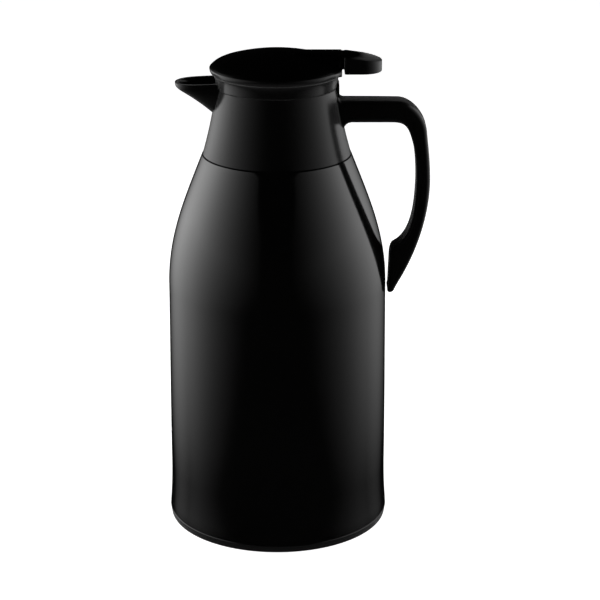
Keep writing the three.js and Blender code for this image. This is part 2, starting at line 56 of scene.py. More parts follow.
SIDES = 128        # facets of a full turn
CREASE = math.radians(32)                # edges sharper than this stay crisp
CALM_START, CALM_FULL = 0.4 * MM, 1.4 * MM   # band above a height over which a top turns calm


# ---------------------------------------------------------------- sizes taken from the frame

SHELL_LOW, SHELL_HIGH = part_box("outer_shell")
BASE_LOW, BASE_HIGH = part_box("base_cup")
_, PAD_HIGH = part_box("anti_slip_pad")
_, COLLAR_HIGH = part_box("neck_collar")
COVER_LOW, COVER_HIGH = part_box("lid_cover")
SKIRT_LOW, SKIRT_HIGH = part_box("lid_skirt")
LEVER_LOW, LEVER_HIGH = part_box("thumb_lever")

FLARE_R = SHELL_HIGH.x                   # outer radius of the shell at its foot
FOOT_Z = SHELL_LOW.z                     # where the shell meets the base ring
NECK_TOP_Z = SHELL_HIGH.z
SEAM_Z = NECK_TOP_Z - 9.6 * MM           # groove between shell and collar
SHOULDER_R = FLARE_R - 1.8 * MM          # where the straight side turns into the shoulder
SHOULDER_Z = SEAM_Z - 84.4 * MM
SEAM_R = FLARE_R - 23.4 * MM
SHELL_WALL = 2.0 * MM
NECK_R = SEAM_R - 6.0 * MM               # the shell's neck, which stands inside the collar
NECK_WALL = 1.8 * MM

COLLAR_LOW_Z = SEAM_Z + 0.95 * MM
COLLAR_TOP_Z = COVER_LOW.z - 0.35 * MM
COLLAR_LOW_R = SEAM_R - 0.6 * MM
COLLAR_WAIST = (COLLAR_LOW_R - 5.5 * MM, SEAM_Z + 20.1 * MM)
COLLAR_TOP_R = COLLAR_LOW_R - 8.8 * MM
COLLAR_WALL = 2.4 * MM
MOUTH_R = 28.2 * MM                      # hole in the collar's ledge, over the flask
RIM_Z = COLLAR_TOP_Z + 3.0 * MM          # top of the spout at its tip

SKIRT_R = SKIRT_HIGH.y - 2.4 * MM

LIP_R = COVER_HIGH.y
LIP_Z = COVER_LOW.z + 10.95 * MM         # where the lip is widest
DOME_Z = COVER_HIGH.z
COVER_Z = COVER_LOW.z
FLAT_X = COVER_HIGH.x                    # flat end of the saddle block, facing the thumb pad
CAP_WALL = 2.0 * MM
SLOT_HALF = 6.3 * MM                     # half the width of the lever's channel in the cap

PAD_START_X = FLAT_X + 1.3 * MM
PAD_END_X = LEVER_HIGH.x
PAD_HALF = LEVER_HIGH.y
LEVER_TOP_Z = LEVER_HIGH.z


# ---------------------------------------------------------------- mesh helpers

def make_object(name, bm):
    """Turns a bmesh into a scene object with smooth faces and crisp creases."""
    bmesh.ops.recalc_face_normals(bm, faces=bm.faces)
    mesh = bpy.data.meshes.new(name)
    bm.to_mesh(mesh)
    bm.free()
    obj = bpy.data.objects.new(name, mesh)
    bpy.context.collection.objects.link(obj)
    shade(obj)
    return obj


def shade(obj):
    """Smooth shading, with the edges sharper than the crease angle kept crisp."""
    mesh = obj.data
    mesh.polygons.foreach_set("use_smooth", [True] * len(mesh.polygons))
    mesh.set_sharp_from_angle(angle=CREASE)
    mesh.update()


def loft(name, rings):
    """Skins a list of equal rings of points and closes both ends."""
    bm = bmesh.new()
    rows = [[bm.verts.new(point) for point in ring] for ring in rings]
    count = len(rows[0])
    for low, high in zip(rows, rows[1:]):
        for i in range(count):
            j = (i + 1) % count
            bm.faces.new((low[i], low[j], high[j], high[i]))
    bm.faces.new(rows[0])
    bm.faces.new(rows[-1])
    return make_object(name, bm)


def turned(name, profile):
    """Turns a closed (radius, height) profile about Z. Points on the axis become poles."""
    bm = bmesh.new()
    rows = []
    for radius, z in profile:
        if radius < 1e-7:
            rows.append([bm.verts.new((0, 0, z))])
            continue
        angles = [2 * math.pi * i / SIDES for i in range(SIDES)]
        rows.append([bm.verts.new((radius * math.cos(a), radius * math.sin(a), z)) for a in angles])
    for a, b in zip(rows, rows[1:] + rows[:1]):
        if len(a) == 1 and len(b) == 1:
            continue
        for i in range(SIDES):
            j = (i + 1) % SIDES
            if len(a) == 1:
                bm.faces.new((a[0], b[i], b[j]))
            elif len(b) == 1:
                bm.faces.new((a[i], a[j], b[0]))
            else:
                bm.faces.new((a[i], a[j], b[j], b[i]))
    return make_object(name, bm)


def prism(name, outline, half_width):
    """A side view in X and Z, given a thickness along Y."""
    rings = [[(x, y, z) for x, z in outline] for y in (-half_width, half_width)]
    return loft(name, rings)


def block(name, x0, x1, half_width, z0, z1):
    """A box from x0 to x1 and z0 to z1, as wide to each side of the middle plane."""
    y0, y1 = -half_width, half_width
    rings = [[(x0, y0, z), (x1, y0, z), (x1, y1, z), (x0, y1, z)] for z in (z0, z1)]
    return loft(name, rings)


def combine(target, other, operation):
    """Applies a boolean with another closed piece and removes that piece."""
    modifier = target.modifiers.new("combine", "BOOLEAN")
    modifier.operation = operation
    modifier.solver = "EXACT"
    modifier.object = other
    bpy.context.view_layer.objects.active = target
    bpy.ops.object.modifier_apply(modifier=modifier.name)
    bpy.data.objects.remove(other, do_unlink=True)


def bezier(points, count):
    """Points along a quadratic or cubic Bezier curve, both ends included."""
    found = []
    for i in range(count + 1):
        t = i / count
        level = [Vector(p) for p in points]
        while len(level) > 1:
            level = [a.lerp(b, t) for a, b in zip(level, level[1:])]
        found.append(tuple(level[0]))
    return found


def chain(start, *curves):
    """Bezier curves joined end to end. Each is its number of steps, then the points after its start."""
    found = [start]
    for count, *points in curves:
        found += bezier([found[-1], *points], count)[1:]
    return found


def arc(centre, radius, start, end, count):
    """Points on an arc, angles in degrees."""
    angles = [math.radians(start + (end - start) * i / count) for i in range(count + 1)]
    return [(centre[0] + radius * math.cos(a), centre[1] + radius * math.sin(a)) for a in angles]


def rounded_rectangle(half_x, half_y, radius, per_corner):
    """A closed outline with four round corners, centred on the origin."""
    points = []
    for cx, cy, start in ((1, 1, 0), (-1, 1, 90), (-1, -1, 180), (1, -1, 270)):
        centre = (cx * (half_x - radius), cy * (half_y - radius))
        points += arc(centre, radius, start, start + 90, per_corner)
    return points


# ---------------------------------------------------------------- materials

def new_material(name):
    """A material with its node list, its links and its shader."""
    material = bpy.data.materials.new(name)
    material.use_nodes = True
    nodes = material.node_tree.nodes
    return material, nodes, material.node_tree.links, nodes["Principled BSDF"]


def add_noise(nodes, links, scale, detail=3.0, stretch=(1, 1, 1)):
    """Noise in the object's own metres. Returns its height output."""
    place = nodes.new("ShaderNodeTexCoord")
    size = nodes.new("ShaderNodeMapping")
    size.inputs["Scale"].default_value = stretch
    noise = nodes.new("ShaderNodeTexNoise")
    noise.inputs["Scale"].default_value = scale
    noise.inputs["Detail"].default_value = detail
    links.new(place.outputs["Object"], size.inputs["Vector"])
    links.new(size.outputs["Vector"], noise.inputs["Vector"])
    return noise.outputs["Fac"]


def spread(nodes, links, value, low, high):
    """Maps a 0 to 1 value to a range."""
    ramp = nodes.new("ShaderNodeMapRange")
    ramp.inputs["To Min"].default_value = low
    ramp.inputs["To Max"].default_value = high
    links.new(value, ramp.inputs["Value"])
    return ramp.outputs["Result"]


def add_bump(nodes, links, height, strength, distance, shader):
    """Raises the surface by a height signal. Distance is in metres."""
    bump = nodes.new("ShaderNodeBump")
    bump.inputs["Strength"].default_value = strength
    bump.inputs["Distance"].default_value = distance
    links.new(height, bump.inputs["Height"])
    links.new(bump.outputs["Normal"], shader.inputs["Normal"])


def vary_colour(nodes, links, value, dark, light, shader):
    """Lets the base colour wander between two shades."""
    mix = nodes.new("ShaderNodeMix")
    mix.data_type = "RGBA"
    mix.inputs["A"].default_value = (*dark, 1)
    mix.inputs["B"].default_value = (*light, 1)
    links.new(value, mix.inputs["Factor"])
    links.new(mix.outputs["Result"], shader.inputs["Base Color"])


def moulded_plastic(name, shade_range, roughness, grain, grain_depth, specular=0.5, bloom=0.0):
    """Black moulded plastic with a fine grain. Bloom is the soft glow of a matt skin at its edges."""
    material, nodes, links, shader = new_material(name)
    cloud = add_noise(nodes, links, 24, 2)
    vary_colour(nodes, links, cloud, (shade_range[0],) * 3, (shade_range[1],) * 3, shader)
    fine = add_noise(nodes, links, grain, 2)
    links.new(spread(nodes, links, fine, *roughness), shader.inputs["Roughness"])
    shader.inputs["IOR"].default_value = 1.5
    shader.inputs["Specular IOR Level"].default_value = specular
    shader.inputs["Sheen Weight"].default_value = bloom
    shader.inputs["Sheen Roughness"].default_value = 0.35
    add_bump(nodes, links, fine, 0.25, grain_depth, shader)
    return material


def calm_above(material, z):
    """Takes most of the gloss and all of the bloom away above a height, for a deep black top."""
    nodes, links = material.node_tree.nodes, material.node_tree.links
    shader = nodes["Principled BSDF"]
    place = nodes.new("ShaderNodeTexCoord")
    split = nodes.new("ShaderNodeSeparateXYZ")
    links.new(place.outputs["Object"], split.inputs["Vector"])
    for name, share in (("Specular IOR Level", 0.25), ("Sheen Weight", 0.0)):
        fade = nodes.new("ShaderNodeMapRange")
        fade.inputs["From Min"].default_value = z + CALM_START
        fade.inputs["From Max"].default_value = z + CALM_FULL
        fade.inputs["To Min"].default_value = shader.inputs[name].default_value
        fade.inputs["To Max"].default_value = shader.inputs[name].default_value * share
        links.new(split.outputs["Z"], fade.inputs["Value"])
        links.new(fade.outputs["Result"], shader.inputs[name])


def soft_rubber(name, colour, roughness):
    """Rubber or silicone with a faint cloudiness and a fine grain."""
    material, nodes, links, shader = new_material(name)
    cloud = add_noise(nodes, links, 60, 4)
    dark, light = [c * 0.85 for c in colour], [min(1, c * 1.15) for c in colour]
    vary_colour(nodes, links, cloud, dark, light, shader)
    links.new(spread(nodes, links, cloud, roughness - 0.08, roughness + 0.08), shader.inputs["Roughness"])
    fine = add_noise(nodes, links, 1800, 3)
    add_bump(nodes, links, fine, 0.2, 0.00005, shader)
    return material


def silvered_glass():
    """The mirrored flask: a metal film under clear glass."""
    material, nodes, links, shader = new_material("silvered_glass")
    streaks = add_noise(nodes, links, 18, 4, (1, 1, 0.25))
    vary_colour(nodes, links, streaks, (0.62, 0.65, 0.68), (0.82, 0.84, 0.86), shader)
    links.new(spread(nodes, links, streaks, 0.04, 0.12), shader.inputs["Roughness"])
    shader.inputs["Metallic"].default_value = 0.95
    shader.inputs["Coat Weight"].default_value = 1.0
    shader.inputs["Coat Roughness"].default_value = 0.02
    return material


def drawn_steel():
    """Steel wire and pins, with lines along their length."""
    material, nodes, links, shader = new_material("drawn_steel")
    lines = add_noise(nodes, links, 900, 2, (1, 1, 0.08))
    vary_colour(nodes, links, lines, (0.42, 0.43, 0.44), (0.6, 0.61, 0.62), shader)
    links.new(spread(nodes, links, lines, 0.2, 0.36), shader.inputs["Roughness"])
    shader.inputs["Metallic"].default_value = 1.0
    add_bump(nodes, links, lines, 0.15, 0.00002, shader)
    return material


def fibre_pad():
    """The grey pads between the two glass walls."""
    material, nodes, links, shader = new_material("fibre_pad")
    fibres = add_noise(nodes, links, 700, 6)
    vary_colour(nodes, links, fibres, (0.3, 0.28, 0.25), (0.5, 0.47, 0.42), shader)
    shader.inputs["Roughness"].default_value = 0.95
    add_bump(nodes, links, fibres, 0.6, 0.0003, shader)
    return material


DEEP_BLACK = (0.0006, 0.0014)
GLOSS_SHELL = moulded_plastic("gloss_shell", (0.0008, 0.0016), (0.09, 0.13), grain=900, grain_depth=0.000004)
SATIN_BLACK = moulded_plastic("satin_black", DEEP_BLACK, (0.19, 0.25), grain=2600, grain_depth=0.00002,
                              specular=0.22, bloom=0.22)
LID_BLACK = moulded_plastic("lid_black", DEEP_BLACK, (0.18, 0.24), grain=2600, grain_depth=0.00002,
                            specular=0.24, bloom=0.27)
LEVER_BLACK = moulded_plastic("lever_black", DEEP_BLACK, (0.2, 0.26), grain=2600, grain_depth=0.00002,
                              specular=0.22, bloom=0.25)
calm_above(LID_BLACK, LIP_Z)
calm_above(LEVER_BLACK, LEVER_TOP_Z - 3 * MM)
INNER_BLACK = moulded_plastic("inner_black", (0.006, 0.010), (0.38, 0.48), grain=1600, grain_depth=0.00003)
DARK_RUBBER = soft_rubber("dark_rubber", (0.012, 0.012, 0.012), 0.75)
SILICONE = soft_rubber("silicone", (0.66, 0.64, 0.6), 0.5)
GLASS = silvered_glass()
STEEL = drawn_steel()
FELT = fibre_pad()


def finish_piece(obj, material, body, slot_name, *nodes):
    """Paints a rebuilt piece, hangs it on its body and hides the CAD nodes it stands for."""
    obj.data.materials.clear()
    obj.data.materials.append(material)
    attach(obj, body)
    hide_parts(*nodes)


# ---------------------------------------------------------------- shell and base

def shell_outline():
    """The shell's outside from its foot to the seam: flared foot, long side, round shoulder."""
    waist_r = FLARE_R - 1.25 * MM
    return chain((FLARE_R, FOOT_Z),
                 (8, (FLARE_R - 0.7 * MM, FOOT_Z + 8 * MM), (FLARE_R - 1.15 * MM, FOOT_Z + 16 * MM),
                  (waist_r, FOOT_Z + 28 * MM)),
                 (10, (FLARE_R - 1.1 * MM, FOOT_Z + 70 * MM), (SHOULDER_R + 0.1 * MM, FOOT_Z + 110 * MM),
                  (SHOULDER_R, SHOULDER_Z)),
                 (36, (SHOULDER_R + 0.45 * MM, SEAM_Z - 52.9 * MM), (SEAM_R + 11.7 * MM, SEAM_Z - 30 * MM),
                  (SEAM_R, SEAM_Z)))


def build_shell():
    """The body's skin, with a rounded top edge and the neck that stands inside the collar."""
    side = shell_outline()[1:-1]
    edge = 0.35 * MM
    foot = [(FLARE_R - SHELL_WALL, FOOT_Z), (FLARE_R - 0.3 * MM, FOOT_Z),
            (FLARE_R - 0.08 * MM, FOOT_Z + 0.12 * MM)]
    top = arc((SEAM_R - edge, SEAM_Z - 0.1 * MM), edge, 20, 90, 4)
    neck = [(NECK_R, SEAM_Z + 0.2 * MM), (NECK_R, NECK_TOP_Z),
            (NECK_R - NECK_WALL, NECK_TOP_Z), (NECK_R - NECK_WALL, SEAM_Z - SHELL_WALL)]
    inside = [(radius - SHELL_WALL, z) for radius, z in reversed(side)]
    shell = turned("shell_skin", foot + side + top + neck + inside)
    finish_piece(shell, GLOSS_SHELL, "jug_body", "gloss_shell", "outer_shell")


def build_base():
    """The floor and the ring under the shell, with a fine gap between them, and the upstand inside."""
    ring_r, pad_r = BASE_HIGH.x, PAD_HIGH.x
    low, top = BASE_LOW.z - 0.25 * MM, FOOT_Z - 0.35 * MM
    floor_z = low + 2.3 * MM
    edge, low_edge = 0.4 * MM, 0.8 * MM
    upstand_r = ring_r - 3.5 * MM
    upstand_inner_r = upstand_r - 2.4 * MM
    profile = [(0, floor_z), (pad_r + 0.6 * MM, floor_z), (pad_r + 1.2 * MM, low)]
    profile += arc((ring_r - 1.4 * MM, low + low_edge), low_edge, -90, -10, 6)
    profile += [(ring_r, top - edge), (ring_r - edge, top), (upstand_r, top), (upstand_r, BASE_HIGH.z)]
    profile += [(upstand_inner_r, BASE_HIGH.z), (upstand_inner_r, FOOT_Z), (0, FOOT_Z)]
    base = turned("base_ring", profile)
    finish_piece(base, SATIN_BLACK, "jug_body", "satin_black", "base_cup")


def build_foot_pad():
    """The rubber disc that the jug stands on."""
    radius, edge = PAD_HIGH.x, 0.8 * MM
    profile = [(0, 0), (radius - edge, 0), (radius, edge), (radius, PAD_HIGH.z), (0, PAD_HIGH.z)]
    pad = turned("foot_pad", profile)
    finish_piece(pad, DARK_RUBBER, "jug_body", "soft_rubber", "anti_slip_pad")


# ---------------------------------------------------------------- collar, spout and handle

SPOUT_LOW_Z = RIM_Z - 20.5 * MM
SPOUT_HALF = 12.5 * MM
SPOUT_BACK = 28.0 * MM                   # how far from the axis the spout's solid starts
SPOUT_REACH = COLLAR_TOP_R + 25.1 * MM
SPOUT_BLUNT = 6                          # 2 would be an oval seen from above, more is blunter
SPOUT_FULLNESS = 2.1                     # more makes the sides swell sooner above the keel
SPOUT_WALL = 2.0 * MM
RIM_RISE = 2.4 * MM                      # how much the rim would climb as far as the axis

HANDLE_HALF = 8.75 * MM
HANDLE_CORNER = 3.0 * MM
TAIL_ROUND = 2.6 * MM


def collar_outline(offset=0.0):
    """The collar's outside from the seam to the lid, or a line that far inside it."""
    curve = bezier([(COLLAR_LOW_R, COLLAR_LOW_Z), COLLAR_WAIST, (COLLAR_TOP_R, COLLAR_TOP_Z)], 18)
    return [(radius - offset, z) for radius, z in curve]


def keel_curve():
    """The spout's underside in the middle plane: a nearly straight keel that turns up at the tip."""
    return chain((COLLAR_TOP_R + 1.2 * MM, SPOUT_LOW_Z),
                 (24, (COLLAR_TOP_R + 8.2 * MM, RIM_Z - 13.2 * MM),
                  (COLLAR_TOP_R + 16.6 * MM, RIM_Z - 8.0 * MM), (SPOUT_REACH - 3.4 * MM, RIM_Z - 5.0 * MM)),
                 (12, (SPOUT_REACH - 1.2 * MM, RIM_Z - 3.6 * MM), (SPOUT_REACH - 0.2 * MM, RIM_Z - 2.5 * MM),
                  (SPOUT_REACH, RIM_Z - 1.3 * MM)))


KEEL = keel_curve()


def keel_reach(z):
    """How far the spout reaches from the axis at a height."""
    for (r0, z0), (r1, z1) in zip(KEEL, KEEL[1:]):
        if z <= z1:
            return r0 + (r1 - r0) * (z - z0) / (z1 - z0)
    return SPOUT_REACH


def beak(name, wall, lift, top_z):
    """The spout as a stack of level slices. Shrunk by the wall and lifted, it is the channel inside."""
    slices, across = 24, 24
    rings = []
    for k in range(slices + 1):
        z = SPOUT_LOW_Z + (top_z - SPOUT_LOW_Z - lift) * k / slices
        share = min(1.0, max(0.015, (z - SPOUT_LOW_Z) / (RIM_Z - SPOUT_LOW_Z)))
        half = max(0.3 * MM, SPOUT_HALF * math.sqrt(1 - (1 - share) ** SPOUT_FULLNESS) - wall)
        reach = keel_reach(z) - SPOUT_BACK - wall
        ring = []
        for i in range(across + 1):
            side = -math.cos(math.pi * i / across)
            front = max(0.0, 1 - side * side) ** (1 / SPOUT_BLUNT)
            x = -SPOUT_BACK - front * reach
            rise = RIM_RISE * share ** 4 * (1 + x / SPOUT_REACH)
            ring.append((x, side * half, z + lift + rise))
        rings.append(ring)
    return loft(name, rings)


def handle_edges():
    """Matching points along the handle's outer and inner edge: root, arm, bend, grip and tail.
    Both edges have the same number of steps. Lengths along the handle count from its back."""
    root, back = COLLAR_TOP_R, COLLAR_HIGH.x
    arm_top, arm_low = SEAM_Z + 34.6 * MM, SEAM_Z + 21 * MM
    grip_z = SEAM_Z - 16.4 * MM
    grip_x = back - 8.6 * MM
    outer = chain(
        (root - 1 * MM, arm_top + 3.4 * MM),
        (6, (root + 1.2 * MM, arm_top + 2.8 * MM), (root + 1.4 * MM, arm_top), (root + 4 * MM, arm_top)),
        (8, (back - 33.7 * MM, arm_top), (back - 19.7 * MM, arm_top - 0.3 * MM)),
        (14, (back - 11.7 * MM, arm_top - 0.8 * MM), (back - 3.7 * MM, SEAM_Z + 24.6 * MM),
         (back - 2.5 * MM, SEAM_Z + 15.6 * MM)),
        (12, (back - 2.1 * MM, SEAM_Z + 9.6 * MM), (back - 0.1 * MM, SEAM_Z - 1.4 * MM), (back, grip_z)),
        (24, (back - 0.1 * MM, SEAM_Z - 37.4 * MM), (back - 6.9 * MM, SEAM_Z - 60.2 * MM),
         (back - 17.5 * MM, SEAM_Z - 78.9 * MM)),
        (6, (back - 19.4 * MM, SEAM_Z - 82.4 * MM), (back - 21.3 * MM, SEAM_Z - 85.8 * MM)))
    inner = chain(
        (root + 1 * MM, arm_low - 6 * MM),
        (6, (root + 4.6 * MM, arm_low - 5.2 * MM), (root + 4.6 * MM, arm_low), (root + 9 * MM, arm_low)),
        (8, (back - 33.7 * MM, arm_low), (back - 24.7 * MM, arm_low)),
        (14, (back - 17.7 * MM, arm_low), (back - 14.4 * MM, arm_low - 0.6 * MM),
         (back - 11.6 * MM, SEAM_Z + 10.1 * MM)),
        (12, (back - 9.6 * MM, SEAM_Z + 3.6 * MM), (grip_x, SEAM_Z - 4.4 * MM), (grip_x, grip_z)),
        (16, (back - 9.0 * MM, SEAM_Z - 33.4 * MM), (back - 10.7 * MM, SEAM_Z - 52.4 * MM),
         (back - 22.1 * MM, SEAM_Z - 57.8 * MM)),
        (8, (back - 24.3 * MM, SEAM_Z - 59.4 * MM), (back - 24.4 * MM, SEAM_Z - 66.4 * MM)),
        (6, (back - 24.8 * MM, SEAM_Z - 76.4 * MM), (back - 25.0 * MM, SEAM_Z - 84.4 * MM)))
    return outer, inner


def handle_loft():
    """Rounded cross-sections along the handle, which shrink to a round end at the tail."""
    outer, inner = handle_edges()
    sections = [(*out_point, *in_point, HANDLE_HALF) for out_point, in_point in zip(outer, inner)]
    ox, oz, ix, iz, _ = sections[-1]
    mx, mz = (ox + ix) / 2, (oz + iz) / 2
    tail = Vector((ox - outer[-3][0], oz - outer[-3][1])).normalized()
    for k in range(1, 7):
        angle = math.radians(15 * k * 0.97)
        shrink, step = math.cos(angle), TAIL_ROUND * math.sin(angle)
        px, pz = mx + tail.x * step, mz + tail.y * step
        sections.append((px + (ox - mx) * shrink, pz + (oz - mz) * shrink,
                         px + (ix - mx) * shrink, pz + (iz - mz) * shrink,
                         HANDLE_HALF - TAIL_ROUND * (1 - shrink)))
    rings = []
    for ox, oz, ix, iz, half_width in sections:
        middle = Vector(((ox + ix) / 2, (oz + iz) / 2))
        across = Vector((ox - ix, oz - iz))
        thick = across.length / 2
        across.normalize()
        shape = rounded_rectangle(thick, half_width, min(HANDLE_CORNER, 0.92 * thick), 6)
        rings.append([(middle.x + across.x * u, v, middle.y + across.y * u) for u, v in shape])
    return loft("handle", rings)


def collar_hollow():
    """Room inside the collar: the socket for the shell's neck, the mouth in the ledge, the chamber."""
    ledge_low, ledge_top = SEAM_Z + 13.1 * MM, SEAM_Z + 15.6 * MM
    below, above = COLLAR_LOW_Z - 2 * MM, COLLAR_TOP_Z + 8 * MM
    socket_r = COLLAR_LOW_R - 5.05 * MM
    chamber = [point for point in collar_outline(COLLAR_WALL) if point[1] > ledge_top + MM]
    return turned("hollow", [
        (0, below), (socket_r, below), (socket_r, NECK_TOP_Z + 0.5 * MM), (socket_r - 2 * MM, ledge_low),
        (MOUTH_R, ledge_low), (MOUTH_R, ledge_top), (chamber[0][0] + 0.2 * MM, ledge_top), *chamber,
        (COLLAR_TOP_R - COLLAR_WALL, above), (0, above)])


def lid_room():
    """Space above the collar that the cap sits in, cut from the spout and the handle's root."""
    return turned("room", [
        (0, COLLAR_TOP_Z), (COLLAR_TOP_R, COLLAR_TOP_Z), (COLLAR_TOP_R + 0.6 * MM, COLLAR_TOP_Z + 0.35 * MM),
        (COLLAR_TOP_R + 1.3 * MM, COVER_Z + 4 * MM), (LIP_R, COVER_Z + 8 * MM), (0, COVER_Z + 8 * MM)])


def collar_lug():
    """The small lug over the handle that keys into the notch in the cap."""
    middle = COLLAR_TOP_R + 0.3 * MM
    back, front, nose = middle - 1.3 * MM, middle + 1.2 * MM, middle - 0.2 * MM
    return prism("lug", [
        (back, COLLAR_TOP_Z - 6 * MM), (front, COLLAR_TOP_Z - 6 * MM), (front, COLLAR_TOP_Z + 1.7 * MM),
        (middle + 0.4 * MM, COLLAR_TOP_Z + 3.5 * MM), (nose, COLLAR_TOP_Z + 3.6 * MM), (nose, COLLAR_TOP_Z),
        (back, COLLAR_TOP_Z)], 6 * MM)


def build_collar():
    """Collar, spout, handle and lug, which are one moulding."""
    bore_r = MOUTH_R - MM
    collar = turned("collar_moulding", collar_outline() + [(bore_r, COLLAR_TOP_Z), (bore_r, COLLAR_LOW_Z)])
    combine(collar, beak("spout", 0, 0, RIM_Z), "UNION")
    combine(collar, handle_loft(), "UNION")
    combine(collar, collar_hollow(), "DIFFERENCE")
    combine(collar, beak("channel", SPOUT_WALL, SPOUT_WALL, RIM_Z + 4 * MM), "DIFFERENCE")
    combine(collar, lid_room(), "DIFFERENCE")
    combine(collar, collar_lug(), "UNION")
    shade(collar)
    finish_piece(collar, SATIN_BLACK, "jug_body", "satin_black", "neck_collar")


# ---------------------------------------------------------------- lid

def cap_outside():
    """Side view of the cap: a waist that flares into a rounded lip, then a shallow dome."""
    low_r = COLLAR_TOP_R + 0.2 * MM
    lip_r = LIP_R - 0.3 * MM
    return chain((low_r - 0.4 * MM, COVER_Z),
                 (4, (low_r, COVER_Z), (low_r + 0.05 * MM, COVER_Z + 0.5 * MM)),
                 (12, (low_r + 0.5 * MM, COVER_Z + 4.6 * MM), (low_r + 0.9 * MM, COVER_Z + 7.0 * MM),
                  (low_r + 2.0 * MM, COVER_Z + 7.9 * MM)),
                 (10, (lip_r - 0.8 * MM, LIP_Z - 2.5 * MM), (lip_r + 0.05 * MM, LIP_Z - 1.0 * MM),
                  (lip_r, LIP_Z + 0.5 * MM)),
                 (4, (lip_r, LIP_Z + 0.9 * MM), (lip_r - 0.3 * MM, LIP_Z + 1.1 * MM)),
                 (10, (LIP_R - 1.9 * MM, DOME_Z - 8.0 * MM), (36.5 * MM, DOME_Z - 6.45 * MM),
                  (34 * MM, DOME_Z - 5.7 * MM)),
                 (28, (24 * MM, DOME_Z - 2.7 * MM), (10 * MM, DOME_Z), (0, DOME_Z)))


def cap():
    """The cap as a hollow turned shape."""
    ceiling_z = DOME_Z - CAP_WALL
    rim_r = LIP_R - 5.65 * MM
    inside = bezier([(0, ceiling_z), (10 * MM, ceiling_z), (23 * MM, DOME_Z - 4.5 * MM),
                     (33 * MM, DOME_Z - 7.4 * MM)], 14)
    inside += [(LIP_R - 3.45 * MM, LIP_Z + 0.8 * MM), (LIP_R - 3.65 * MM, LIP_Z - 1.6 * MM),
               (rim_r, LIP_Z - 3.6 * MM), (rim_r, COVER_Z)]
    return turned("lid_cap", cap_outside() + inside)


def saddle():
    """The block at the handle's side of the cap, with a rounded top edge."""
    half, start_x = 10 * MM, 15 * MM
    low_z, top_z = LIP_Z - 3.5 * MM, DOME_Z - 4 * MM
    corner, edge = 2.2 * MM, 0.8 * MM
    plan = [(start_x, -half)] + arc((FLAT_X - corner, -half + corner), corner, -90, 0, 6)
    plan += arc((FLAT_X - corner, half - corner), corner, 0, 90, 6) + [(start_x, half)]
    rings = [[(x, y, low_z) for x, y in plan]]
    for k in range(5):
        angle = math.radians(22.5 * k)
        inset, drop = edge * (1 - math.cos(angle)), edge * (1 - math.sin(angle))
        rings.append([(x - inset, math.copysign(max(0.0, abs(y) - inset), y), top_z - drop) for x, y in plan])
    return loft("saddle", rings)


def build_cover():
    """The cap with its saddle block, cut flat at the end, with room for the lever and the lug."""
    fork_x, channel_x, beyond_x = 9.6 * MM, 29 * MM, 50 * MM
    channel_z, above = DOME_Z - 11.5 * MM, DOME_Z + 5 * MM
    notch_x, notch_z = COLLAR_TOP_R - 0.2 * MM, COVER_Z + 3.55 * MM
    cover = cap()
    combine(cover, saddle(), "UNION")
    cuts = [block("sheared", FLAT_X, beyond_x, 10 * MM, COVER_Z - 2 * MM, above),
            block("channel", channel_x, beyond_x, SLOT_HALF, channel_z, above),
            block("fork_room", fork_x, channel_x + 0.01 * MM, SLOT_HALF, COVER_Z + MM, above),
            block("notch", notch_x, beyond_x, SLOT_HALF, COVER_Z - MM, notch_z)]
    for cut in cuts:
        combine(cover, cut, "DIFFERENCE")
    shade(cover)
    finish_piece(cover, LID_BLACK, "lid", "satin_black", "lid_cover")


def build_skirt():
    """The ring that plugs the collar, with a flange inside the cap."""
    inner_r, flange_r = SKIRT_R - 1.6 * MM, SKIRT_HIGH.y
    low, ledge, top = SKIRT_LOW.z, COVER_Z, SKIRT_HIGH.z
    edge = 0.3 * MM
    skirt = turned("lid_skirt_ring", [
        (inner_r, low + edge), (inner_r + edge, low), (SKIRT_R - edge, low), (SKIRT_R, low + edge),
        (SKIRT_R, ledge), (flange_r - edge, ledge), (flange_r, ledge + edge), (flange_r, top - edge),
        (flange_r - edge, top), (inner_r + edge, top), (inner_r, top - edge)])
    finish_piece(skirt, SATIN_BLACK, "lid", "satin_black", "lid_skirt")


# ---------------------------------------------------------------- lever

LEVER_NECK_TOP = LEVER_TOP_Z - 0.6 * MM  # also the height of the pad's inner end
LEVER_NECK_LOW = LEVER_TOP_Z - 9.8 * MM
PAD_LOW_Z = LEVER_LOW.z + 3.6 * MM
FORK_TOP_Z = LEVER_LOW.z + 3 * MM
LEVER_HALF = 6 * MM                      # half the width of strip, neck and fork


def pad_plan():
    """The thumb pad from above: a square inner end, straight sides and a round tip."""
    corner = 1.2 * MM
    corner_x = PAD_START_X + corner
    plan = arc((corner_x, -PAD_HALF + corner), corner, 180, 270, 4)
    plan += arc((PAD_END_X - PAD_HALF, 0), PAD_HALF, -90, 90, 28)
    plan += arc((corner_x, PAD_HALF - corner), corner, 90, 180, 4)
    return plan


def pad_top(x, y):
    """Height of the pad's crowned top: it falls away to the tip and a little to each side."""
    along = max(0.0, (x - PAD_START_X) / (PAD_END_X - PAD_START_X))
    across = y / PAD_HALF
    return LEVER_NECK_TOP - 4.2 * MM * along ** 1.6 - 1.0 * MM * across ** 2


def inset_ring(plan, distance, height):
    """The plan moved inwards, with each point at the height that the function gives."""
    centre = Vector((FLAT_X + 12 * MM, 0))
    ring = []
    for x, y in plan:
        out = Vector((x, y)) - centre
        scale = max(0.0, 1 - distance / out.length)
        px, py = centre.x + out.x * scale, out.y * scale
        ring.append((px, py, height(px, py)))
    return ring


